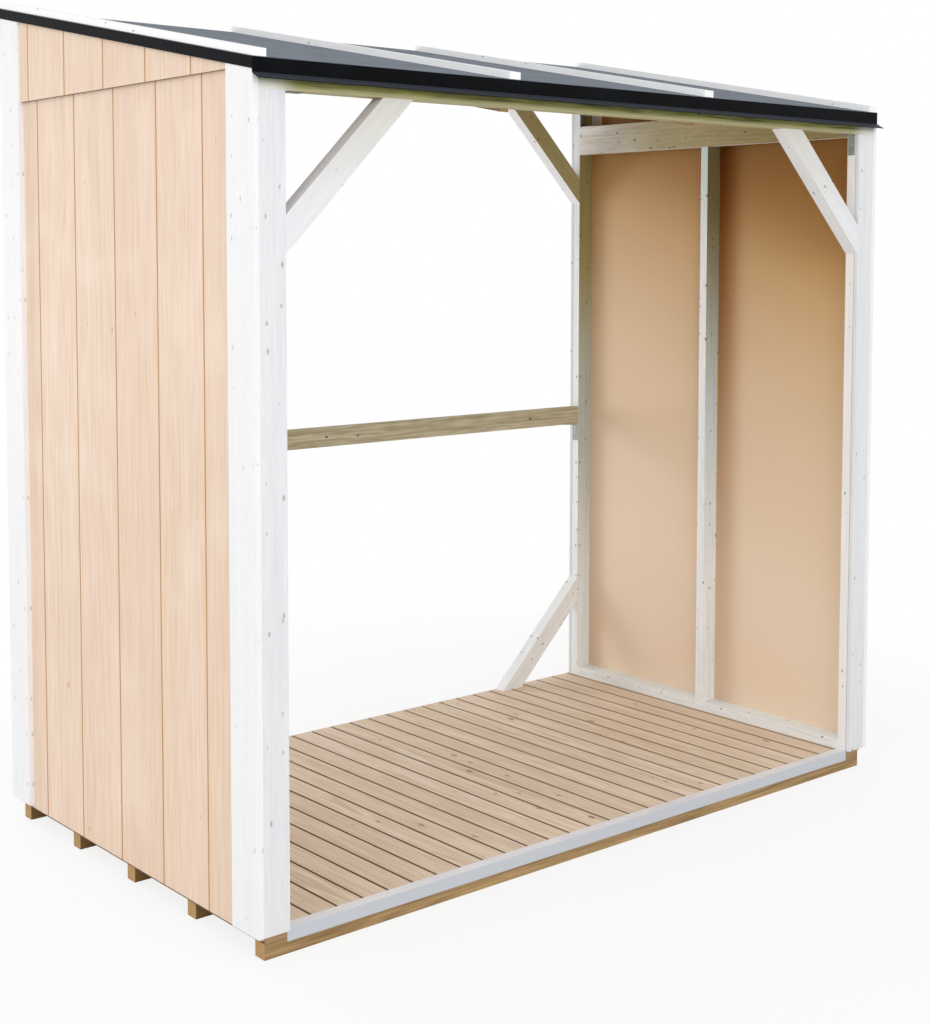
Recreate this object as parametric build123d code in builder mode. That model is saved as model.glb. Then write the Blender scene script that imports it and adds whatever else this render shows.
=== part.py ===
from build123d import *
from math import cos, radians, tan
import os

os.makedirs("parts", exist_ok=True)

# A lean-to log store: slatted deck on bearers, two clad side walls on a light stud frame,
# an open braced front and back, and a felted roof that falls to the front.
# X runs along the front, Y from front to back, Z up. The origin is under the middle of the deck.

# Overall sizes
width = 2190.0          # over the side boards
depth = 1225.0          # front face of the front boards to the back edge of the side walls
roof_pitch = 11.0       # degrees, falling to the front
eave_z = 1942.0         # underside of the roof boarding at the front face

# Deck
bearer_w = 37.0
bearer_h = 37.0
bearer_count = 5
deck_board_t = 19.0
deck_board_count = 29
deck_gap = 4.5
trim_leg = 30.0
trim_t = 2.0

# Frame timber, one section throughout
timber_t = 28.0
timber_w = 60.0
back_overhang = 27.0    # side walls past the back boards
fascia_h = 46.0         # front fascia at its face, level with the header below
beam_z = 1889.5         # underside of the side beams
beam_h = 95.0
back_header_h = 100.0   # at its back face
rail_z = 952.0          # underside of the back middle rail
brace_run = 350.0       # long edge of a brace, from its post to its far end

# Cladding
panel_t = 9.0
panel_drop = 9.0        # the sheet hangs this far below the deck's top
panel_lap = 30.0        # the upper sheet laps the lower one
panel_seam_z = 1945.0   # lower edge of the upper sheet
groove_pitch = 203.2
groove_w = 4.0
groove_deep = 2.0
lower_first_groove = 225.6  # from the front face
upper_first_groove = 257.6
side_board_t = 14.0
side_board_w = 106.0
cover_board_t = 12.0    # front and back boards and fascias

# Roof
roof_board_t = 18.0
felt_t = 3.0
flashing_t = 1.5
flashing_leg = 30.0     # leg between boarding and felt
rake_drop = 25.0
eave_drop = 32.0
lip_out = 22.0
lip_down = 13.0
batten_w = 35.0
batten_t = 17.0
batten_from_middle = 349.0

# Angle brackets
bracket_leg = 60.0
bracket_w = 22.0
bracket_t = 2.0

# Places that follow from the sizes above
half = width / 2
front_y = -depth / 2
back_y = depth / 2
deck_z = bearer_h + deck_board_t
frame_front = front_y + cover_board_t
frame_back = back_y - back_overhang
frame_depth = frame_back - frame_front
post_back = frame_front + timber_t
board_front = frame_back - cover_board_t
post_front = board_front - timber_t
frame_mid = (frame_front + frame_back) / 2
head_z = eave_z - fascia_h
sheet_outer = half - side_board_t
frame_x = sheet_outer - panel_t
inner_x = frame_x - timber_w
post_x = frame_x - timber_w / 2
slope = tan(radians(roof_pitch))
plumb = 1 / cos(radians(roof_pitch))
sides = (("left", -1), ("right", 1))


def roof_z(y, above=0.0):
    """Height at y of the line that lies `above` the boarding's underside, square to the roof."""
    return eave_z + slope * (y - front_y) + above * plumb


def roof_layer(y0, y1, low, high):
    """Outline, seen from the side, of what lies between two levels of the roof."""
    return [(y0, roof_z(y0, low)), (y1, roof_z(y1, low)),
            (y1, roof_z(y1, high)), (y0, roof_z(y0, high))]


def under_roof(y0, y1, foot):
    """Outline, seen from the side, of an upright piece whose top is bevelled to the roof."""
    return [(y0, foot), (y1, foot), (y1, roof_z(y1)), (y0, roof_z(y0))]


def groove_places(x, first, last_y):
    """Middles of the grooves down a sheet's face, from the first to the last that the sheet has."""
    count = int((last_y - front_y - first) / groove_pitch) + 1
    return [(x, front_y + first + step * groove_pitch) for step in range(count)]


def write(piece, name):
    """Label a finished piece and write it as the node of that name."""
    piece.label = name
    export_step(piece, f"parts/{name}.step")


# Bearers: squared lengths along the store, the outer ones flush with the frame's two faces
with BuildPart() as bearers:
    with BuildSketch():
        with Locations((0, frame_mid)):
            with GridLocations(1, (frame_depth - bearer_w) / (bearer_count - 1), 1, bearer_count):
                Rectangle(2 * frame_x, bearer_w)
    extrude(amount=bearer_h)
write(bearers.part, "bearers")

# Deck boards: laid front to back with open gaps, the outer ones under the walls
board_pitch = (2 * frame_x + deck_gap) / deck_board_count
with BuildPart() as deck_boards:
    with BuildSketch(Plane.XY.offset(bearer_h)):
        with Locations((0, frame_mid)):
            with GridLocations(board_pitch, 1, deck_board_count, 1):
                Rectangle(board_pitch - deck_gap, frame_depth)
    extrude(amount=deck_board_t)
write(deck_boards.part, "deck_boards")

# Deck edge trim: an angle over the board ends, between the front posts
trim_front = frame_front - trim_t
trim_top = deck_z + trim_t
with BuildPart() as deck_edge_trim:
    with BuildSketch(Plane.YZ):
        with BuildLine():
            Polyline((trim_front, trim_top), (trim_front, trim_top - trim_leg),
                     (frame_front, trim_top - trim_leg), (frame_front, deck_z),
                     (trim_front + trim_leg, deck_z), (trim_front + trim_leg, trim_top),
                     close=True)
        make_face()
    extrude(amount=inner_x, both=True)
write(deck_edge_trim.part, "deck_edge_trim")

# Sole plates: laid flat along each side wall, between the posts
sole_top = deck_z + timber_t
for name, side in sides:
    with BuildPart() as sole_plate:
        with BuildSketch(Plane.XY.offset(deck_z)):
            with Locations((side * post_x, (post_back + post_front) / 2)):
                Rectangle(timber_w, post_front - post_back)
        extrude(amount=timber_t)
    write(sole_plate.part, f"{name}_sole_plate")

# Headers: the top bevelled to the pitch, the front one over the posts, the back one deeper
back_head_z = roof_z(board_front) - back_header_h
with BuildPart() as front_header:
    with BuildSketch(Plane.YZ):
        with BuildLine():
            Polyline(*under_roof(frame_front, post_back, head_z), close=True)
        make_face()
    extrude(amount=frame_x, both=True)
write(front_header.part, "front_header")

with BuildPart() as back_header:
    with BuildSketch(Plane.YZ):
        with BuildLine():
            Polyline(*under_roof(post_front, board_front, back_head_z), close=True)
        make_face()
    extrude(amount=frame_x, both=True)
write(back_header.part, "back_header")

# Corner posts: stood on the deck, under the headers
for name, side in sides:
    with BuildPart() as front_post:
        with BuildSketch(Plane.XY.offset(deck_z)):
            with Locations((side * post_x, (frame_front + post_back) / 2)):
                Rectangle(timber_w, timber_t)
        extrude(amount=head_z - deck_z)
    write(front_post.part, f"front_{name}_post")

    with BuildPart() as back_post:
        with BuildSketch(Plane.XY.offset(deck_z)):
            with Locations((side * post_x, (post_front + board_front) / 2)):
                Rectangle(timber_w, timber_t)
        extrude(amount=back_head_z - deck_z)
    write(back_post.part, f"back_{name}_post")

# Side beams: on edge between the posts, flush inside, the front end bevelled under the roof
beam_top = beam_z + beam_h
beam_meets_roof = front_y + (beam_top - eave_z) / slope
beam_x = inner_x + timber_t / 2
for name, side in sides:
    with BuildPart() as side_beam:
        with BuildSketch(Plane.YZ.offset(side * beam_x)):
            with BuildLine():
                Polyline((post_back, beam_z), (post_front, beam_z), (post_front, beam_top),
                         (beam_meets_roof, beam_top), (post_back, roof_z(post_back)), close=True)
            make_face()
        extrude(amount=timber_t / 2, both=True)
    write(side_beam.part, f"{name}_side_beam")

# Gable rafters: against the cladding, from header to header
for name, side in sides:
    with BuildPart() as gable_rafter:
        with BuildSketch(Plane.YZ.offset(side * (frame_x - timber_t / 2))):
            with BuildLine():
                Polyline(*roof_layer(post_back, post_front, -timber_w, 0), close=True)
            make_face()
        extrude(amount=timber_t / 2, both=True)
    write(gable_rafter.part, f"{name}_gable_rafter")

# Middle rafters: the same timber, each under one of the inner roof battens
with BuildPart() as middle_rafters:
    for rafter_x in (-batten_from_middle, batten_from_middle):
        with BuildSketch(Plane.YZ.offset(rafter_x)):
            with BuildLine():
                Polyline(*roof_layer(post_back, post_front, -timber_w, 0), close=True)
            make_face()
        extrude(amount=timber_t / 2, both=True)
write(middle_rafters.part, "middle_rafters")

# Middle studs: square to the wall under the side beam, with a tongue up to the rafter
stud_y = frame_mid - timber_t / 2
stud_front = stud_y - timber_t / 2
stud_back = stud_y + timber_t / 2
tongue = timber_w - timber_t
for name, side in sides:
    with BuildPart() as middle_stud:
        with BuildSketch(Plane.XY.offset(sole_top)):
            with Locations((side * post_x, stud_y)):
                Rectangle(timber_w, timber_t)
        extrude(amount=beam_z - sole_top)
        with BuildSketch(Plane.YZ.offset(side * (frame_x - tongue / 2))):
            with BuildLine():
                Polyline((stud_front, beam_z), (stud_back, beam_z),
                         (stud_back, roof_z(stud_back, -timber_w)),
                         (stud_front, roof_z(stud_front, -timber_w)), close=True)
            make_face()
        extrude(amount=tongue / 2, both=True)
    write(middle_stud.part, f"{name}_middle_stud")

# Back middle rail: between the back posts
with BuildPart() as back_middle_rail:
    with BuildSketch(Plane.XY.offset(rail_z)):
        with Locations((0, (post_front + board_front) / 2)):
            Rectangle(2 * inner_x, timber_t)
    extrude(amount=timber_w)
write(back_middle_rail.part, "back_middle_rail")

# Braces: at 45 degrees, as thick as a post with its cover board and flush with both,
# bevelled to seat on the post and on header or deck
short_run = brace_run - timber_w / cos(radians(45))
brace_t = timber_t + cover_board_t
braces = (("front_{}_brace", front_y, head_z, -1),
          ("back_{}_top_brace", post_front, back_head_z, -1),
          ("back_{}_foot_brace", post_front, deck_z, 1))
for brace_name, brace_y, seat_z, up in braces:
    for name, side in sides:
        with BuildPart() as brace:
            with BuildSketch(Plane.XZ.offset(-brace_y - brace_t / 2)):
                with BuildLine():
                    Polyline((side * inner_x, seat_z + up * brace_run),
                             (side * inner_x, seat_z + up * short_run),
                             (side * (inner_x - short_run), seat_z),
                             (side * (inner_x - brace_run), seat_z), close=True)
                make_face()
            extrude(amount=brace_t / 2, both=True)
        write(brace.part, brace_name.format(name))

# Lower panels: grooved sheets from below the deck's top to just past the seam
lower_top = panel_seam_z + panel_lap
lower_foot = deck_z - panel_drop
lower_meets_roof = front_y + (lower_top - eave_z) / slope
for name, side in sides:
    with BuildPart() as lower_panel:
        with BuildSketch(Plane.YZ.offset(side * (frame_x + panel_t / 2))):
            with BuildLine():
                Polyline((frame_front, lower_foot), (back_y, lower_foot), (back_y, lower_top),
                         (lower_meets_roof, lower_top), (frame_front, roof_z(frame_front)),
                         close=True)
            make_face()
        extrude(amount=panel_t / 2, both=True)
        with BuildSketch(Plane.XY.offset(lower_foot)):
            with Locations(*groove_places(side * sheet_outer, lower_first_groove, back_y)):
                Rectangle(2 * groove_deep, groove_w)
        extrude(amount=roof_z(back_y) - lower_foot, mode=Mode.SUBTRACT)
    write(lower_panel.part, f"{name}_lower_panel")

# Upper panels: lapped over the lower ones, between the side boards, cut to the roof
board_edge_front = front_y + side_board_w
board_edge_back = back_y - side_board_w
for name, side in sides:
    with BuildPart() as upper_panel:
        with BuildSketch(Plane.YZ.offset(side * (sheet_outer + panel_t / 2))):
            with BuildLine():
                Polyline(*under_roof(board_edge_front, board_edge_back, panel_seam_z), close=True)
            make_face()
        extrude(amount=panel_t / 2, both=True)
        face_x = side * (sheet_outer + panel_t)
        with BuildSketch(Plane.XY.offset(panel_seam_z)):
            with Locations(*groove_places(face_x, upper_first_groove, board_edge_back)):
                Rectangle(2 * groove_deep, groove_w)
        extrude(amount=roof_z(back_y) - panel_seam_z, mode=Mode.SUBTRACT)
    write(upper_panel.part, f"{name}_upper_panel")

# Side boards: upright over the cladding's two edges, bevelled under the roof
for name, side in sides:
    for end, y0, y1 in (("front", front_y, board_edge_front), ("back", board_edge_back, back_y)):
        with BuildPart() as side_board:
            with BuildSketch(Plane.YZ.offset(side * (sheet_outer + side_board_t / 2))):
                with BuildLine():
                    Polyline(*under_roof(y0, y1, deck_z), close=True)
                make_face()
            extrude(amount=side_board_t / 2, both=True)
        write(side_board.part, f"{name}_{end}_side_board")

# Front boards: over the faces of the front posts, between the side boards
front_board_w = sheet_outer - inner_x
for name, side in sides:
    with BuildPart() as front_board:
        with BuildSketch(Plane.XY.offset(deck_z)):
            with Locations((side * (inner_x + front_board_w / 2), front_y + cover_board_t / 2)):
                Rectangle(front_board_w, cover_board_t)
        extrude(amount=head_z - deck_z)
    write(front_board.part, f"front_{name}_board")

# Back boards: the same over the back posts, inside the cladding that runs past them
for name, side in sides:
    with BuildPart() as back_board:
        with BuildSketch(Plane.XY.offset(deck_z)):
            with Locations((side * post_x, frame_back - cover_board_t / 2)):
                Rectangle(timber_w, cover_board_t)
        extrude(amount=back_head_z - deck_z)
    write(back_board.part, f"back_{name}_board")

# Fascias: over the headers' faces and the boards' tops
with BuildPart() as front_fascia:
    with BuildSketch(Plane.YZ):
        with BuildLine():
            Polyline(*under_roof(front_y, frame_front, head_z), close=True)
        make_face()
    extrude(amount=sheet_outer, both=True)
write(front_fascia.part, "front_fascia")

with BuildPart() as back_fascia:
    with BuildSketch(Plane.YZ):
        with BuildLine():
            Polyline(*under_roof(board_front, frame_back, back_head_z), close=True)
        make_face()
    extrude(amount=frame_x, both=True)
write(back_fascia.part, "back_fascia")

# Roof boarding: one plumb-cut deck to the outer faces of the side boards
with BuildPart() as roof_boarding:
    with BuildSketch(Plane.YZ):
        with BuildLine():
            Polyline(*roof_layer(front_y, back_y, 0, roof_board_t), close=True)
        make_face()
    extrude(amount=half, both=True)
write(roof_boarding.part, "roof_boarding")

# Drip flashings: a leg under the felt, a face down the edge and a lip thrown outwards
leg_top = roof_board_t + flashing_t
for name, edge, out in (("front", front_y, -1), ("back", back_y, 1)):
    face = edge + out * flashing_t
    tip = face + out * lip_out
    leg_end = edge - out * flashing_leg
    fold = roof_z(face, leg_top) - eave_drop
    with BuildPart() as drip_flashing:
        with BuildSketch(Plane.YZ):
            with BuildLine():
                Polyline((leg_end, roof_z(leg_end, roof_board_t)),
                         (leg_end, roof_z(leg_end, leg_top)), (face, roof_z(face, leg_top)),
                         (face, fold), (tip, fold - lip_down), (tip, fold - lip_down - flashing_t),
                         (edge, fold - flashing_t), (edge, roof_z(edge, roof_board_t)),
                         close=True)
            make_face()
        extrude(amount=half + flashing_t, both=True)
    write(drip_flashing.part, f"{name}_drip_flashing")

# Rake flashings: an angle down each side of the roof, between the drip flashings
leg_front = front_y + flashing_leg
leg_back = back_y - flashing_leg
for name, side in sides:
    with BuildPart() as rake_flashing:
        with BuildSketch(Plane.YZ.offset(side * (half + flashing_t / 2))):
            with BuildLine():
                Polyline(*roof_layer(front_y, back_y, leg_top - rake_drop, roof_board_t),
                         close=True)
            make_face()
        extrude(amount=flashing_t / 2, both=True)
        with BuildSketch(Plane.YZ.offset(side * (half + (flashing_t - flashing_leg) / 2))):
            with BuildLine():
                Polyline(*roof_layer(leg_front, leg_back, roof_board_t, leg_top), close=True)
            make_face()
        extrude(amount=(flashing_t + flashing_leg) / 2, both=True)
    write(rake_flashing.part, f"{name}_rake_flashing")

# Roof felt: one covering over the flashings' legs, filled out between them
with BuildPart() as roof_felt:
    with BuildSketch(Plane.YZ):
        with BuildLine():
            Polyline(*roof_layer(front_y, back_y, leg_top, roof_board_t + felt_t), close=True)
        make_face()
    extrude(amount=half + flashing_t, both=True)
    with BuildSketch(Plane.YZ):
        with BuildLine():
            Polyline(*roof_layer(leg_front, leg_back, roof_board_t, leg_top), close=True)
        make_face()
    extrude(amount=half - flashing_leg, both=True)
write(roof_felt.part, "roof_felt")

# Roof battens: laths down the slope that hold the felt, the outer two along its edges
felt_top = roof_board_t + felt_t
edge_batten = half - batten_w / 2
with BuildPart() as roof_battens:
    for batten_x in (-edge_batten, -batten_from_middle, batten_from_middle, edge_batten):
        with BuildSketch(Plane.YZ.offset(batten_x)):
            with BuildLine():
                Polyline(*roof_layer(front_y, back_y, felt_top, felt_top + batten_t), close=True)
            make_face()
        extrude(amount=batten_w / 2, both=True)
write(roof_battens.part, "roof_battens")

# Angle brackets: front post to header, back post to middle rail, and as wide as the side beam
# where that meets the back post
front_post_mid = (frame_front + post_back) / 2
back_post_mid = (post_front + board_front) / 2
with BuildPart() as angle_brackets:
    for name, side in sides:
        for seat_y, seat_z in ((front_post_mid, head_z), (back_post_mid, rail_z)):
            with BuildSketch(Plane.XZ.offset(-seat_y)):
                with BuildLine():
                    Polyline((side * inner_x, seat_z), (side * inner_x, seat_z - bracket_leg),
                             (side * (inner_x - bracket_t), seat_z - bracket_leg),
                             (side * (inner_x - bracket_t), seat_z - bracket_t),
                             (side * (inner_x - bracket_leg), seat_z - bracket_t),
                             (side * (inner_x - bracket_leg), seat_z), close=True)
                make_face()
            extrude(amount=bracket_w / 2, both=True)
        with BuildSketch(Plane.YZ.offset(side * beam_x)):
            with BuildLine():
                Polyline((post_front, beam_top), (post_front, beam_top + bracket_leg),
                         (post_front - bracket_t, beam_top + bracket_leg),
                         (post_front - bracket_t, beam_top + bracket_t),
                         (post_front - bracket_leg, beam_top + bracket_t),
                         (post_front - bracket_leg, beam_top), close=True)
            make_face()
        extrude(amount=timber_t / 2, both=True)
write(angle_brackets.part, "angle_brackets")
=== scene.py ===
import math

import bmesh
import bpy
import numpy as np
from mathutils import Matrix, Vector


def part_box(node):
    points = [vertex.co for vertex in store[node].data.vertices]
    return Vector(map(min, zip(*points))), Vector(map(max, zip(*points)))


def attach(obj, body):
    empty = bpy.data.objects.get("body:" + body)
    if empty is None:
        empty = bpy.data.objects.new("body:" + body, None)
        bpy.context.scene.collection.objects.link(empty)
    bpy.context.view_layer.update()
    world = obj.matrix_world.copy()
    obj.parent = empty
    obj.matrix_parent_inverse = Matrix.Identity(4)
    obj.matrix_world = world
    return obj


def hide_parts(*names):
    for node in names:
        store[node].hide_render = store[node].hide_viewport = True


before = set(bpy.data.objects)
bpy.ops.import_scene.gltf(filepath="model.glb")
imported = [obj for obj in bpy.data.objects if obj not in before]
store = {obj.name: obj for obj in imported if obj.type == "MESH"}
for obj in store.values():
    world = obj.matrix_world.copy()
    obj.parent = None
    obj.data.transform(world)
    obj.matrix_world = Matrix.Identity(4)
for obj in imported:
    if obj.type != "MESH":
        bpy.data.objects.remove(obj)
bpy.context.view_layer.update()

# Studio: a pale floor under three soft boxes, seen from the photograph's place.
# The floor and the room read as white to the eye, and the floor keeps the store's shadow.
bpy.context.scene.view_settings.view_transform = "Standard"

eye = Vector((-2.986, -3.503, 1.549))
heading = math.radians(-39.44)
dip = math.radians(3.79)
lens_mm = 56.96
shift_right = 0.0323
shift_down = 0.148

camera = bpy.data.cameras.new("camera")
camera.lens = lens_mm
camera.sensor_width = 36.0
camera.shift_x = shift_right
camera.shift_y = -shift_down
viewer = bpy.data.objects.new("camera", camera)
viewer.location = eye
viewer.rotation_euler = (math.radians(90) - dip, 0, heading)
bpy.context.scene.collection.objects.link(viewer)
bpy.context.scene.camera = viewer


def node(tree, kind, inputs=None, **settings):
    """Adds a shader node: settings are its properties, inputs its sockets, as values or links."""
    made = tree.nodes.new("ShaderNode" + kind)
    for key, value in settings.items():
        setattr(made, key, value)
    for key, value in (inputs or {}).items():
        if isinstance(value, bpy.types.NodeSocket):
            tree.links.new(value, made.inputs[key])
        else:
            made.inputs[key].default_value = value
    return made


def reckon(tree, operation, *values):
    """One sum on numbers or links, held between 0 and 1 where the operation ends in !."""
    made = node(tree, "Math", dict(enumerate(values)),
                operation=operation.rstrip("!"), use_clamp=operation.endswith("!"))
    return made.outputs[0]


def times(tree, *factors):
    """Numbers or links multiplied together."""
    total = factors[0]
    for factor in factors[1:]:
        total = reckon(tree, "MULTIPLY", total, factor)
    return total


def object_spot(tree):
    """The Object coordinates, in metres."""
    return node(tree, "TexCoord").outputs["Object"]


def seen_directly(tree):
    """1 for rays that come from the eye, from gloss or through glass, else 0."""
    path = node(tree, "LightPath")
    eye_or_gloss = reckon(tree, "MAXIMUM", path.outputs["Is Camera Ray"],
                          path.outputs["Is Glossy Ray"])
    return reckon(tree, "MAXIMUM", eye_or_gloss, path.outputs["Is Transmission Ray"])


def between(tree, value, low, high, at_low=0.0, at_high=1.0):
    """A smooth step from at_low at low to at_high at high."""
    return node(tree, "MapRange", {"Value": value, "From Min": low, "From Max": high,
                                   "To Min": at_low, "To Max": at_high},
                interpolation_type="SMOOTHSTEP").outputs[0]


room_light = 0.82
room = bpy.data.worlds.new("room")
bpy.context.scene.world = room
room.use_nodes = True
backdrop = room.node_tree.nodes["Background"]
backdrop.inputs["Color"].default_value = (1, 1, 1, 1)
strength = reckon(room.node_tree, "MAXIMUM", seen_directly(room.node_tree), room_light)
room.node_tree.links.new(strength, backdrop.inputs["Strength"])


def lamp(name, stand, aim, size, power):
    """A square soft box on a stand, turned to face a point."""
    light = bpy.data.lights.new(name, "AREA")
    light.size = size
    light.energy = power
    held = bpy.data.objects.new(name, light)
    held.location = stand
    held.rotation_euler = (Vector(aim) - Vector(stand)).to_track_quat("-Z", "Y").to_euler()
    held.visible_camera = False
    bpy.context.scene.collection.objects.link(held)


lamp("side_box", stand=(-6.5, -1.5, 4.0), aim=(0, 0, 1.0), size=3.5, power=60)
lamp("front_box", stand=(-2.4, -6.5, 3.2), aim=(0.4, 0, 0.8), size=3.5, power=98)
lamp("back_box", stand=(-1.25, 3.4, 1.4), aim=(1.0, 0.2, 1.0), size=1.6, power=32)

floor_reach = 40.0
floor_white = 0.86
whiten_from, whiten_to = 1.4, 3.0
white_by_store = 0.82
mesh = bpy.data.meshes.new("floor")
mesh.from_pydata([(-floor_reach, -floor_reach, 0), (floor_reach, -floor_reach, 0),
                  (floor_reach, floor_reach, 0), (-floor_reach, floor_reach, 0)], [],
                 [(0, 1, 2, 3)])
floor = bpy.data.objects.new("floor", mesh)
bpy.context.scene.collection.objects.link(floor)
paint = bpy.data.materials.new("pale_floor")
paint.use_nodes = True
tree = paint.node_tree
matt = tree.nodes["Principled BSDF"]
matt.inputs["Base Color"].default_value = (floor_white, floor_white, floor_white, 1)
matt.inputs["Roughness"].default_value = 0.9
matt.inputs["Specular IOR Level"].default_value = 0.1
glow = node(tree, "Emission", {"Color": (1, 1, 1, 1), "Strength": 1.0})
reach = node(tree, "VectorMath", {0: object_spot(tree)}, operation="LENGTH").outputs["Value"]
whiten = between(tree, reach, whiten_from, whiten_to, at_low=white_by_store)
share = times(tree, whiten, seen_directly(tree))
mixed = node(tree, "MixShader", {0: share, 1: matt.outputs[0], 2: glow.outputs[0]})
tree.links.new(mixed.outputs[0], tree.nodes["Material Output"].inputs["Surface"])
mesh.materials.append(paint)


# Bearers: squared sawn lengths, pressure treated to a golden brown, laid along the store.
# The saw has left their ends paler, with the end grain open.
X, Y, Z = range(3)


def rgb(red, green, blue):
    """A colour seen as red, green and blue from 0 to 255, as the light that makes it."""
    seen = np.array([red, green, blue]) / 255
    light = np.where(seen <= 0.04045, seen / 12.92, ((seen + 0.055) / 1.055) ** 2.4)
    return (*light.tolist(), 1.0)


def blend_colour(tree, share, first, second, way="MIX"):
    """First colour towards second by share, which is a number or a link."""
    made = node(tree, "Mix", {0: share, 6: first, 7: second}, data_type="RGBA", blend_type=way)
    return made.outputs[2]


def surface(name, roughness, specular=0.25):
    """A new material, its node tree and its shader."""
    skin = bpy.data.materials.new(name)
    skin.use_nodes = True
    shader = skin.node_tree.nodes["Principled BSDF"]
    shader.inputs["Roughness"].default_value = roughness
    shader.inputs["Specular IOR Level"].default_value = specular
    return skin, skin.node_tree, shader


def place(tree, axis):
    """The Object coordinate along an axis, in metres."""
    return node(tree, "SeparateXYZ", {0: object_spot(tree)}).outputs[axis]


def facing(tree, axis, sign):
    """How squarely a surface faces along an axis, from 0 to 1; with sign 0, either way."""
    normal = node(tree, "NewGeometry").outputs["Normal"]
    part = node(tree, "SeparateXYZ", {0: normal}).outputs[axis]
    return reckon(tree, "MULTIPLY!", part, sign) if sign else reckon(tree, "ABSOLUTE", part)


def board_number(tree, boards):
    """Which board of a row a point is on: boards gives the axis across, the start and the step."""
    axis, start, step = boards
    steps = times(tree, reckon(tree, "SUBTRACT", place(tree, axis), start), 1 / step)
    return reckon(tree, "FLOOR", steps)


def noise(tree, spot, scale, detail, distortion=0.0):
    """Smooth noise about one half, its cells 1 / scale metres across."""
    return node(tree, "TexNoise", {"Vector": spot, "Scale": scale, "Detail": detail,
                                   "Distortion": distortion}).outputs["Fac"]


def wood(name, run, pale, deep, knot, knot_size=0.0035, knot_every=0.06, contrast=1.0,
         roughness=0.62, bump=0.3, turn=0.0, boards=None):
    """Wood on Object coordinates, its grain along run (X, Y or Z), turned about Y.

    The figure is the sum of a fine and a broad noise, both stretched 30 times along the run,
    and of rings, which are a sine of the broad noise plus the distance to the nearest knot.
    The knots are discs about points scattered over the run and the sum of the two other
    axes. A point's lot sets the size of its disc, and the lowest lots have none.
    Each board of a row reads the pattern from its own place.
    """
    board_jump = 3.71
    fibre_stretch, fibre_scale, fibre_share = 30, 150.0, 1.1
    drift_scale, drift_share = 24.0, 0.5
    ring_count, ring_share, knot_swirl = 46.0, 0.10, 5.0
    middle, paler, deeper = 0.80, 0.30, 0.34
    knot_relief, relief_height = 0.6, 0.0004

    skin, tree, shader = surface(name, roughness)
    spot = object_spot(tree)
    if boards:
        jump = times(tree, board_number(tree, boards), board_jump)
        moved = node(tree, "CombineXYZ", {X: jump, Y: jump, Z: jump}).outputs[0]
        spot = node(tree, "VectorMath", {0: spot, 1: moved}, operation="ADD").outputs[0]
    turned = node(tree, "Mapping", {"Vector": spot, "Rotation": (0, turn, 0)}).outputs[0]
    parts = node(tree, "SeparateXYZ", {0: turned}).outputs
    across = reckon(tree, "ADD", parts[(run + 1) % 3], parts[(run + 2) % 3])
    flat = node(tree, "CombineXYZ", {X: across, Y: times(tree, parts[run], 0.5)})
    points = node(tree, "TexVoronoi", {"Vector": flat.outputs[0], "Scale": 1 / knot_every},
                  voronoi_dimensions="2D")
    near = points.outputs["Distance"]
    lot = node(tree, "SeparateColor", {0: points.outputs["Color"]}).outputs[0]
    size = reckon(tree, "MULTIPLY_ADD", lot, knot_size * 1.8, knot_size * -0.8)
    depth = reckon(tree, "MULTIPLY_ADD", near, -knot_every, size)
    knots = reckon(tree, "MULTIPLY!", depth, 2.0 / knot_size)

    stretch = [1.0, 1.0, 1.0]
    stretch[run] = 1 / fibre_stretch
    along = node(tree, "Mapping", {"Vector": turned, "Scale": tuple(stretch)}).outputs[0]
    fibres = noise(tree, along, fibre_scale, 4.0)
    drift = noise(tree, along, drift_scale, 2.0, 0.5)
    rings = reckon(tree, "SINE", reckon(tree, "MULTIPLY_ADD", drift, ring_count,
                                        times(tree, near, knot_swirl)))
    figure = reckon(tree, "MULTIPLY_ADD", fibres, fibre_share, times(tree, rings, ring_share))
    figure = reckon(tree, "MULTIPLY_ADD", drift, drift_share, figure)
    figure = node(tree, "MapRange", {"Value": figure, "From Min": middle - paler / contrast,
                                     "From Max": middle + deeper / contrast}).outputs[0]
    colour = blend_colour(tree, figure, pale, deep)
    colour = blend_colour(tree, knots, colour, knot)
    tree.links.new(colour, shader.inputs["Base Color"])
    relief = reckon(tree, "MULTIPLY_ADD", knots, -knot_relief, figure)
    lift = node(tree, "Bump", {"Height": relief, "Strength": bump, "Distance": relief_height})
    tree.links.new(lift.outputs[0], shader.inputs["Normal"])
    return skin


def tint(skin, share, colour, way="MIX"):
    """Lays a colour over a material's own by a share, which is a number or a link."""
    tree = skin.node_tree
    socket = tree.nodes["Principled BSDF"].inputs["Base Color"]
    under = socket.links[0].from_socket
    tree.links.new(blend_colour(tree, share, under, colour, way), socket)


def finish_nodes(skin, names, edge=0.0012):
    """Gives the CAD nodes of those names a material, and rounds their sharp edges."""
    for name in names:
        piece = store[name]
        piece.data.materials.clear()
        piece.data.materials.append(skin)
        if edge:
            eased = piece.modifiers.new("eased edges", "BEVEL")
            eased.width = edge
            eased.segments = 2
            eased.limit_method = "ANGLE"
            eased.angle_limit = math.radians(40)


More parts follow.
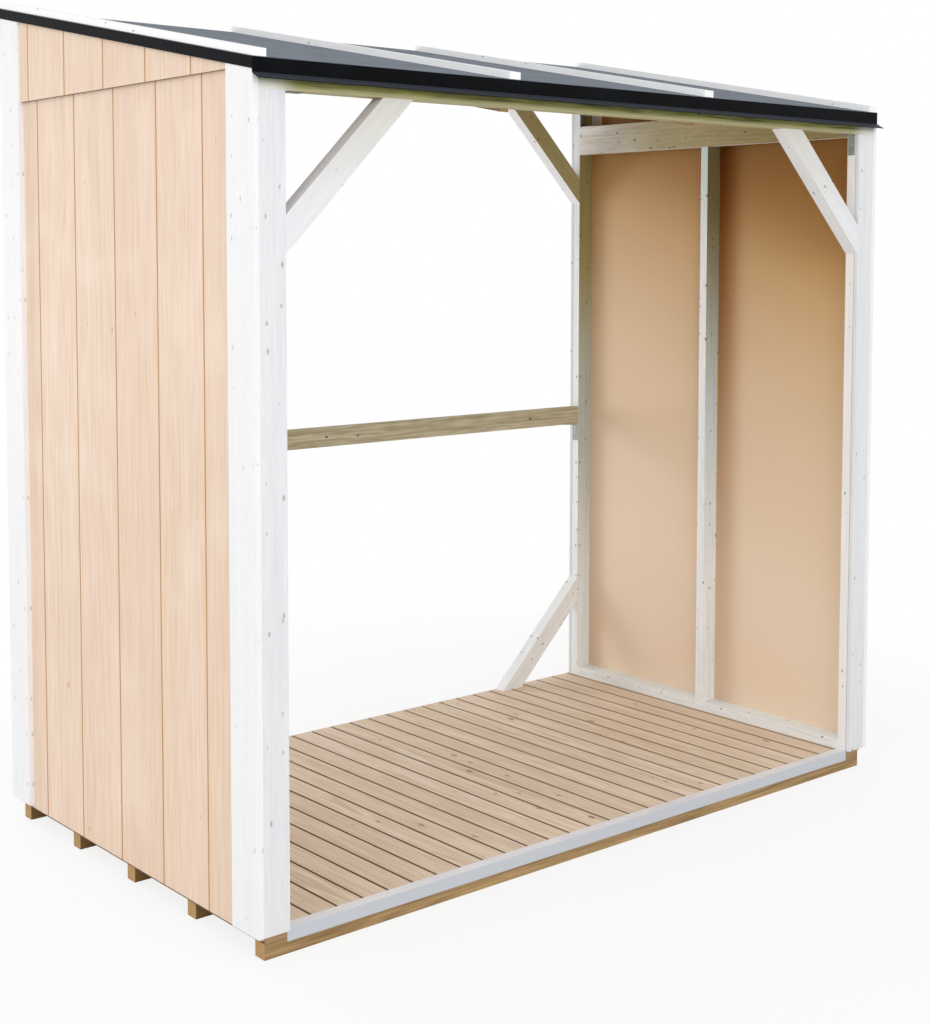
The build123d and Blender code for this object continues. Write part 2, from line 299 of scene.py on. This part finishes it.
bearer_wood = wood("bearer_wood", X, pale=rgb(188, 156, 108), deep=rgb(136, 108, 70),
                   knot=rgb(98, 68, 36), knot_size=0.006, knot_every=0.11, contrast=1.2)
tree = bearer_wood.node_tree
sawn_end = facing(tree, X, 0)
tint(bearer_wood, times(tree, sawn_end, 0.6), rgb(208, 170, 116))
growth = node(tree, "TexWave", {"Vector": object_spot(tree), "Scale": 70.0,
                                "Distortion": 3.0, "Detail": 1.0},
              wave_type="RINGS", rings_direction="X").outputs["Fac"]
tint(bearer_wood, times(tree, growth, sawn_end, 0.35), rgb(150, 108, 58))
# Painted shade: the front faces of the bearers behind the first one are darkened, as shade under
# the deck.
first_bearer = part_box("bearers")[0].y
painted_shade_under_deck = between(tree, place(tree, Y), first_bearer + 0.06, first_bearer + 0.10)
tint(bearer_wood, times(tree, painted_shade_under_deck, facing(tree, Y, -1.0), 0.85), rgb(116, 88, 46))
finish_nodes(bearer_wood, ["bearers"])


# Deck boards: planed softwood laid front to back, 29 of them, each with its own tone, grain
# and small brown knots. The gaps between them fall open to the bearers.
def dice(tree, number, salt):
    """A number from 0 to 1 that each board keeps."""
    return node(tree, "TexWhiteNoise", {"W": reckon(tree, "ADD", number, salt)},
                noise_dimensions="1D").outputs["Value"]


board_low, board_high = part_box("deck_boards")
deck_gap = 0.0045
deck_count = 29
deck_start = board_low.x - deck_gap / 2
deck_step = (board_high.x - board_low.x + deck_gap) / deck_count
deck_row = (X, deck_start, deck_step)
deck_wood = wood("deck_wood", Y, pale=rgb(240, 225, 205), deep=rgb(208, 185, 158),
                 knot=rgb(150, 98, 56), knot_size=0.0095, knot_every=0.085, contrast=1.5,
                 boards=deck_row)
tree = deck_wood.node_tree
number = board_number(tree, deck_row)
tint(deck_wood, times(tree, dice(tree, number, 0.5), 0.5), rgb(218, 194, 168))
tint(deck_wood, times(tree, dice(tree, number, 40.5), 0.35), rgb(237, 216, 197))
# Painted shade: the board sides down in the gaps are dark brown, and the top faces darken towards
# each gap.
tint(deck_wood, times(tree, facing(tree, X, 0), 0.75), rgb(96, 66, 36))
tint(deck_wood, times(tree, facing(tree, Y, 0), 0.8), rgb(150, 112, 68))
offset = reckon(tree, "SUBTRACT", place(tree, X), deck_start)
from_gap = reckon(tree, "PINGPONG", offset, deck_step / 2)
painted_gap_shade = between(tree, from_gap, deck_gap / 2 + 0.0030, deck_gap / 2 + 0.0005, at_high=0.7)
tint(deck_wood, painted_gap_shade, rgb(112, 80, 48))
finish_nodes(deck_wood, ["deck_boards"], 0.0016)


# Deck edge trim: folded sheet with a pale blue-grey coat, screwed over the board ends.
# The coat has a fine orange-peel skin and faint broad wear.
def coated(name, colour, worn, roughness, specular=0.4):
    """Coated sheet: a broad cloud of noise for wear, and a fine one for the coat's skin."""
    skin, tree, shader = surface(name, roughness, specular)
    cloud = noise(tree, object_spot(tree), 9.0, 5.0)
    peel = noise(tree, object_spot(tree), 600.0, 2.0)
    tree.links.new(blend_colour(tree, between(tree, cloud, 0.42, 0.72), colour, worn),
                   shader.inputs["Base Color"])
    tree.links.new(node(tree, "MapRange", {"Value": cloud, "To Min": roughness - 0.08,
                                           "To Max": roughness + 0.10}).outputs[0],
                   shader.inputs["Roughness"])
    lift = node(tree, "Bump", {"Height": peel, "Strength": 0.12, "Distance": 0.0004})
    tree.links.new(lift.outputs[0], shader.inputs["Normal"])
    return skin


trim_coat = coated("pale_coat", rgb(234, 234, 239), rgb(222, 224, 230), 0.45)
tree = trim_coat.node_tree
# Painted shade: the front face of the trim is darker than its top.
tint(trim_coat, facing(tree, Y, -1.0), rgb(200, 204, 211))
finish_nodes(trim_coat, ["deck_edge_trim"], 0.0006)


# White frame timber: planed lengths of one section under a thin white stain, which lets the
# grain and small dark knots through. Painted shade darkens it to olive and umber high up
# under the roof.
def painted_shade(colour, start, end, along=Z, faces=Y, sign=-1.0, share=1.0):
    """One painted shade for white_timber: from nothing at start to its whole share at end."""
    return colour, start, end, along, faces, sign, share


def white_timber(name, run, painted_shades=(), turn=0.0, pale=rgb(249, 249, 248), deep=rgb(236, 236, 234),
                 knot=rgb(150, 149, 144), knot_size=0.0042, knot_every=0.036):
    """White stained wood; each painted shade multiplies the faces that it is for by its colour."""
    skin = wood(name, run, pale, deep, knot, knot_size=knot_size, knot_every=knot_every,
                turn=turn, contrast=0.9, bump=0.25)
    tree = skin.node_tree
    for colour, start, end, along, faces, sign, share in painted_shades:
        rise = between(tree, place(tree, along), start, end)
        tint(skin, times(tree, rise, facing(tree, faces, sign), share), colour, "MULTIPLY")
    return skin


# The same white stain, painted cooler and paler on the inside timbers to offset the warm light
# bounced from the tan board.
inside_stain_cooled = {"pale": rgb(252, 255, 255), "deep": rgb(228, 235, 238),
                "knot": rgb(134, 131, 118), "knot_size": 0.0034, "knot_every": 0.028}
front_post_stain = white_timber("white_front_post", Z)
# Painted shade: the front faces of the back posts and studs darken upwards, the studs' sides lose
# red high up to offset warm bounced light, and the beams' sides darken towards the front.
back_post_stain_and_shade = white_timber("white_back_post", Z, [
    painted_shade(rgb(196, 199, 190), 0.2, 1.0), painted_shade(rgb(224, 205, 143), 1.0, 1.6)], **inside_stain_cooled)
stud_stain_and_shade = white_timber("white_stud", Z, [
    painted_shade(rgb(219, 228, 226), 0.4, 1.2), painted_shade(rgb(166, 144, 98), 0.9, 1.75),
    painted_shade(rgb(222, 250, 250), 1.5, 1.95, faces=X, sign=0, share=0.8)], **inside_stain_cooled)
sole_stain_cooled = white_timber("white_sole", Y, **inside_stain_cooled)
beam_stain_and_shade = white_timber("white_beam", Y, [
    painted_shade(rgb(205, 199, 163), 0.5, 0.15, along=Y, faces=X, sign=0),
    painted_shade(rgb(226, 214, 180), 0.3, -0.5, along=Y, faces=X, sign=0)],
    deep=rgb(214, 212, 200), knot=rgb(128, 119, 94), knot_size=0.0040, knot_every=0.030)
finish_nodes(front_post_stain, ["front_left_post", "front_right_post"])
finish_nodes(back_post_stain_and_shade, ["back_left_post", "back_right_post"])
finish_nodes(stud_stain_and_shade, ["left_middle_stud", "right_middle_stud"])
finish_nodes(sole_stain_cooled, ["left_sole_plate", "right_sole_plate"])
finish_nodes(beam_stain_and_shade, ["left_side_beam", "right_side_beam"])

# Braces: short lengths of the same timber, bevelled 45 degrees at both ends and screwed
# between post and header, and at the back between post and deck too.
brace_angle = math.radians(45)
for side, turn in (("left", -brace_angle), ("right", brace_angle)):
    # Painted shade: the front braces take a greyer white that darkens further near the header, and
    # the back top braces darken to olive upwards.
    front_brace_stain_and_shade = white_timber(f"white_{side}_front_brace", Z,
                               [painted_shade(rgb(238, 235, 224), 1.6, 1.9)], turn=turn,
                               pale=rgb(237, 238, 240), deep=rgb(226, 227, 230))
    top_brace_stain_and_shade = white_timber(f"white_{side}_top_brace", Z,
                             [painted_shade(rgb(199, 188, 140), 1.0, 1.5)], turn=turn, **inside_stain_cooled)
    foot_brace_stain_cooled = white_timber(f"white_{side}_foot_brace", Z, turn=-turn, **inside_stain_cooled)
    finish_nodes(front_brace_stain_and_shade, [f"front_{side}_brace"])
    finish_nodes(top_brace_stain_and_shade, [f"back_{side}_top_brace"])
    finish_nodes(foot_brace_stain_cooled, [f"back_{side}_foot_brace"])

# Back middle rail: a length of the same timber, coloured grey-green with dark knots.
# It runs between the back posts and is held by an angle bracket at each end.
rail_wood = wood("rail_wood", X, pale=rgb(206, 200, 175), deep=rgb(163, 155, 123),
                 knot=rgb(84, 74, 52), knot_size=0.0045, knot_every=0.045, contrast=1.2)
finish_nodes(rail_wood, ["back_middle_rail"])

# Headers and fascias: pressure-treated softwood, still green, rubbed paler along its lower
# edge and towards the white boards at its ends.
green_wood = wood("green_wood", X, pale=rgb(150, 150, 84), deep=rgb(86, 88, 38),
                  knot=rgb(56, 54, 24), knot_size=0.009, knot_every=0.06, contrast=1.3)
tree = green_wood.node_tree
fascia_low, fascia_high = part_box("front_fascia")
rubbed = between(tree, place(tree, Z), fascia_low.z + 0.016, fascia_low.z)
below_top = reckon(tree, "LESS_THAN", place(tree, Z), fascia_high.z)
tint(green_wood, times(tree, rubbed, below_top, 0.7), rgb(196, 188, 150))
from_middle = reckon(tree, "ABSOLUTE", place(tree, X))
near_end = between(tree, from_middle, fascia_high.x - 0.11, fascia_high.x - 0.03)
lower_part = between(tree, place(tree, Z), fascia_high.z - 0.012, fascia_low.z)
tint(green_wood, times(tree, near_end, lower_part, 0.85), rgb(236, 236, 232))
finish_nodes(green_wood, ["front_header", "back_header", "front_fascia", "back_fascia"])

# Rafters: bare sawn softwood from header to header, two against the cladding and two inside,
# which carry the roof boarding.
rafter_wood = wood("rafter_wood", Y, pale=rgb(200, 176, 132), deep=rgb(160, 132, 88),
                   knot=rgb(96, 66, 36))
finish_nodes(rafter_wood, ["left_gable_rafter", "right_gable_rafter", "middle_rafters"])


# Cladding: grooved sheets with a pale peach wood face outside and smooth tan board inside.
# Each strip between two grooves has its own run of grain, and painted shade darkens each groove.
front_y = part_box("left_front_side_board")[0].y
stud_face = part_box("left_middle_stud")[0].y
post_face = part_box("back_left_post")[0].y
groove_pitch = 0.2032
groove_half = 0.002
lower_first_groove = 0.2256
upper_first_groove = 0.2576
tan_slope = 0.34


def painted_shade_by_timbers(tree):
    """Painted shade beside the stud or the back post, from 0 a hand's breadth off to 1 beside it.

    Beside the stud it grows with height; beside the post it fades out with height.
    """
    y, z = place(tree, Y), place(tree, Z)
    off_stud = reckon(tree, "ABSOLUTE", reckon(tree, "SUBTRACT", y, stud_face))
    off_post = reckon(tree, "ABSOLUTE", reckon(tree, "SUBTRACT", y, post_face))
    by_stud = times(tree, between(tree, off_stud, 0.12, 0.0),
                    between(tree, z, 0.0, 1.8, at_low=0.25))
    by_post = times(tree, between(tree, off_post, 0.10, 0.0),
                    between(tree, z, 0.0, 1.0, at_low=0.3, at_high=0.0))
    return reckon(tree, "MAXIMUM", by_stud, by_post)


def inner_board(tree):
    """Tan board painted browner up the wall as shade under the roof, a fine mist of noise, and
    painted shade by timbers.

    The height is taken above a line that rises to the back by tan_slope, as the roof does.
    """
    back = reckon(tree, "SUBTRACT", place(tree, Y), front_y)
    height = reckon(tree, "MULTIPLY_ADD", back, -tan_slope, place(tree, Z))
    tone = rgb(242, 221, 197)
    for start, end, colour in ((0.2, 1.1, rgb(226, 199, 165)), (0.83, 1.70, rgb(196, 150, 84)),
                               (1.32, 1.78, rgb(144, 94, 18))):
        tone = blend_colour(tree, between(tree, height, start, end), tone, colour)
    mist = noise(tree, object_spot(tree), 240.0, 2.0)
    tone = blend_colour(tree, times(tree, mist, 0.12), tone, rgb(190, 150, 106))
    return blend_colour(tree, painted_shade_by_timbers(tree), tone, rgb(196, 152, 104), "MULTIPLY")


def cladding(name, first_groove):
    """Sheet finish: grain outside, tan board inside, brown where the sheet is cut, and painted
    shadow on cut edges facing down.

    The outside is told from the inside by the normal times the place along X.
    """
    groove_start = front_y + first_groove - groove_pitch * 10
    strips = (Y, groove_start, groove_pitch)
    skin = wood(name, Z, pale=rgb(241, 220, 200), deep=rgb(226, 196, 170),
                knot=rgb(214, 178, 146), knot_size=0.006, knot_every=0.16, contrast=0.95,
                roughness=0.5, bump=0.25, boards=strips)
    tree = skin.node_tree
    number = board_number(tree, strips)
    tint(skin, times(tree, dice(tree, number, 7.5), 0.3), rgb(230, 202, 177))
    patches = noise(tree, object_spot(tree), 5.0, 3.0)
    tint(skin, between(tree, patches, 0.5, 0.75, at_high=0.4), rgb(245, 226, 208))
    offset = reckon(tree, "SUBTRACT", place(tree, Y), groove_start)
    from_groove = reckon(tree, "PINGPONG", offset, groove_pitch / 2)
    # Painted shade: a band about each groove is darkened.
    groove_shade = between(tree, from_groove, groove_half + 0.0045, groove_half - 0.0010)
    tint(skin, times(tree, groove_shade, 0.75), rgb(214, 174, 128))
    normal = node(tree, "NewGeometry").outputs["Normal"]
    outward = times(tree, node(tree, "SeparateXYZ", {0: normal}).outputs[X], place(tree, X))
    cut_edge = reckon(tree, "LESS_THAN", reckon(tree, "ABSOLUTE", outward), 0.2)
    tint(skin, reckon(tree, "LESS_THAN", outward, -0.2), inner_board(tree))
    tint(skin, cut_edge, rgb(216, 178, 138))
    # Painted shadow: cut edges that face down, as under the lap, are dark brown.
    tint(skin, facing(tree, Z, -1.0), rgb(110, 74, 40))
    return skin


for level, first_groove in (("lower", lower_first_groove), ("upper", upper_first_groove)):
    finish_nodes(cladding(f"{level}_cladding", first_groove),
                 [f"left_{level}_panel", f"right_{level}_panel"], 0.0006)

# Side, front and back boards: planed boards painted white, nailed over the cladding's edges
# and the faces of the posts. A fine grey seam shows where a board meets its post.
seam_half = 0.0025
side_paint = white_timber("white_side_boards", Z, pale=rgb(246, 246, 247), deep=rgb(239, 239, 241),
                          knot=rgb(206, 207, 208))
finish_nodes(side_paint, ["left_front_side_board", "left_back_side_board",
                          "right_front_side_board", "right_back_side_board"])
# Painted shade: the front and back boards take a darker copy of the side boards' white.
face_paint_shaded = white_timber("white_face_boards", Z, pale=rgb(234, 235, 237), deep=rgb(222, 223, 226),
                          knot=rgb(178, 179, 180), knot_size=0.0046, knot_every=0.038)
tree = face_paint_shaded.node_tree
for joint in (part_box("front_left_board")[1].y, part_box("back_left_board")[0].y):
    seam = reckon(tree, "COMPARE", place(tree, Y), joint, seam_half)
    tint(face_paint_shaded, times(tree, seam, facing(tree, X, 0)), rgb(190, 190, 192))
finish_nodes(face_paint_shaded, ["front_left_board", "front_right_board", "back_left_board",
                          "back_right_board"])

# Roof boarding: bare boards laid along the store and nailed to the rafters, seen only from
# below.
roof_board_width = 0.11
under_wood = wood("under_wood", X, pale=rgb(186, 146, 100), deep=rgb(140, 100, 60),
                  knot=rgb(84, 52, 28),
                  boards=(Y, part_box("roof_boarding")[0].y, roof_board_width))
finish_nodes(under_wood, ["roof_boarding"], 0.0)

# Roof felt: grey mineral felt in one sheet, its grit standing in fine bumps.
# It covers the legs of the flashings and is held down by the battens.
def grains(tree, scale):
    """A number from 0 to 1 for each grain of a surface, the grains 1 / scale metres across."""
    cells = node(tree, "TexVoronoi", {"Vector": object_spot(tree), "Scale": scale})
    return node(tree, "SeparateColor", {0: cells.outputs["Color"]}).outputs[0]


felt_skin = coated("felt_skin", rgb(122, 129, 138), rgb(112, 119, 128), 0.86, specular=0.15)
tree = felt_skin.node_tree
tint(felt_skin, times(tree, grains(tree, 420.0), 0.35), rgb(92, 99, 108))
finish_nodes(felt_skin, ["roof_felt"], 0.0008)

# Flashings: steel strip with a satin black coat, folded down over the roof's four edges.
# The lip of the drip strips is thrown outwards and is paler on top.
black_coat = coated("black_coat", rgb(9, 10, 13), rgb(14, 16, 20), 0.42, specular=0.05)
tree = black_coat.node_tree
lip_height = 0.0145
for end in ("front_drip_flashing", "back_drip_flashing"):
    lip_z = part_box(end)[0].z
    in_lip = reckon(tree, "COMPARE", place(tree, Z), lip_z + lip_height / 2, lip_height / 2)
    tint(black_coat, times(tree, facing(tree, Z, 1.0), in_lip), rgb(58, 62, 70))
finish_nodes(black_coat, ["front_drip_flashing", "back_drip_flashing", "left_rake_flashing",
                          "right_rake_flashing"], 0.0004)

# Roof battens: laths painted white, laid down the slope and nailed through the felt,
# one along each edge and two between.
finish_nodes(white_timber("white_batten", Y, pale=rgb(254, 254, 254), deep=rgb(248, 248, 249),
                          knot=rgb(200, 200, 200)), ["roof_battens"])


# Angle brackets: galvanised plate punched with two rows of holes and folded square, which
# ties the front posts to the header and the back posts to the middle rail and side beams.
# Pan-head screws hold them.
def punched_plate(length, width, rows, columns, hole, steps=24):
    """Points and quads of a flat plate from u = -length to length, one hole in each cell.

    Each cell is a ring between two loops of the same directions: the hole's circle, and
    those directions carried out to the cell's border.
    """
    cell = np.array([length / rows, width / columns])
    turn = np.arange(steps) * (2 * np.pi / steps)
    way = np.stack([np.cos(turn), np.sin(turn)], axis=1)
    border = way / np.abs(way).max(axis=1, keepdims=True) * cell / 2
    ring = np.stack([way * hole, border])
    u = (np.arange(-rows, rows) + 0.5) * cell[0]
    v = (np.arange(columns) + 0.5) * cell[1] - width / 2
    middle = np.stack(np.meshgrid(u, v, indexing="ij"), axis=-1).reshape(-1, 1, 1, 2)
    first = np.arange(steps)
    after = (first + 1) % steps
    quad = np.stack([first, first + steps, after + steps, after], axis=1)
    quads = np.arange(len(middle))[:, None, None] * 2 * steps + quad
    return (middle + ring).reshape(-1, 2), quads.reshape(-1, 4)


def folded(points, corner, leg, other_leg):
    """Folds a flat plate at u = 0: u past 0 runs down one leg, u before 0 down the other."""
    across = np.cross(leg, other_leg)
    u, v = points[:, :1], points[:, 1:]
    return (np.array(corner) + np.maximum(u, 0) * leg + np.maximum(-u, 0) * other_leg
            + v * across)


def pan_heads(places, axes, radius=0.0036, rise=0.0016, steps=12, rings=4):
    """Screw heads at places along axes.

    A head is the top of an ellipsoid: its radius is the sine and its rise the cosine of an
    angle that runs from 0 at the middle to a right angle at the rim.
    """
    turn, fall = np.meshgrid(np.arange(steps) * (2 * np.pi / steps),
                             np.linspace(0, np.pi / 2, rings), indexing="ij")
    axes = np.array(axes)
    side = np.roll(axes, 1, axis=1)
    other = np.cross(axes, side)
    out = radius * np.sin(fall)[..., None]
    points = (np.array(places)[:, None, None] + out * np.cos(turn)[..., None] * side[:, None, None]
              + out * np.sin(turn)[..., None] * other[:, None, None]
              + rise * np.cos(fall)[..., None] * axes[:, None, None])
    cells = np.arange(len(places) * steps * rings).reshape(len(places), steps, rings)
    on = np.roll(cells, -1, axis=1)
    quads = np.stack([cells[..., :-1], cells[..., 1:], on[..., 1:], on[..., :-1]], axis=-1)
    return points.reshape(-1, 3), quads.reshape(-1, 4)


def metal_piece(name, points, quads, skin):
    """A new piece of the brackets: its doubled points are merged and it stands for the node."""
    mesh = bpy.data.meshes.new(name)
    mesh.from_pydata(points.tolist(), [], quads.tolist())
    shape = bmesh.new()
    shape.from_mesh(mesh)
    bmesh.ops.remove_doubles(shape, verts=shape.verts, dist=1e-5)
    bmesh.ops.dissolve_degenerate(shape, dist=1e-6, edges=shape.edges)
    shape.to_mesh(mesh)
    shape.free()
    mesh.materials.append(skin)
    piece = bpy.data.objects.new(name, mesh)
    bpy.context.scene.collection.objects.link(piece)
    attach(piece, "root")
    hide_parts("angle_brackets")
    return piece


leg_length = 0.060
post_plate_width = 0.022
plate_t = 0.002
hole_rows = 5
hole_radius = 0.0026
down = np.array([0.0, 0.0, -1.0])
forward = np.array([0.0, -1.0, 0.0])
front_post_low, front_post_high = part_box("front_right_post")
back_post_low, back_post_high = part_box("back_right_post")
beam_low, beam_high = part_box("right_side_beam")
post_inside = front_post_low.x
front_middle = (front_post_low.y + front_post_high.y) / 2
back_middle = (back_post_low.y + back_post_high.y) / 2
header_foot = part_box("front_header")[0].z
rail_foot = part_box("back_middle_rail")[0].z
seats = []
for side in (-1, 1):
    inward = np.array([-side, 0.0, 0.0])
    seats += [((side * post_inside, front_middle, header_foot), down, inward, post_plate_width),
              ((side * post_inside, back_middle, rail_foot), down, inward, post_plate_width),
              ((side * (beam_low.x + beam_high.x) / 2, back_post_low.y, beam_high.z),
               -down, forward, beam_high.x - beam_low.x)]

plate_points, plate_quads, screw_places, screw_axes = [], [], [], []
count = 0
for corner, leg, other_leg, width in seats:
    flat, quads = punched_plate(leg_length, width, hole_rows, 2, hole_radius)
    plate_points.append(folded(flat, corner, leg, other_leg))
    plate_quads.append(quads + count)
    count += len(flat)
    across = np.cross(leg, other_leg)
    for run, axis in ((leg, other_leg), (other_leg, leg)):
        for row, hand in ((1, -1), (3, 1)):
            along = (row + 0.5) * leg_length / hole_rows
            screw_places.append(np.array(corner) + along * run + hand * width / 4 * across
                                + plate_t * axis)
            screw_axes.append(axis)

zinc = coated("zinc_coat", rgb(160, 164, 161), rgb(132, 137, 134), 0.42)
tree = zinc.node_tree
tree.nodes["Principled BSDF"].inputs["Metallic"].default_value = 0.55
tint(zinc, times(tree, grains(tree, 260.0), 0.4), rgb(112, 118, 116))
plates = metal_piece("bracket_plates", np.concatenate(plate_points), np.concatenate(plate_quads),
                     zinc)
thick = plates.modifiers.new("plate thickness", "SOLIDIFY")
thick.thickness = plate_t
thick.offset = -1.0
thick.use_even_offset = True
metal_piece("bracket_screws", *pan_heads(screw_places, screw_axes), zinc)
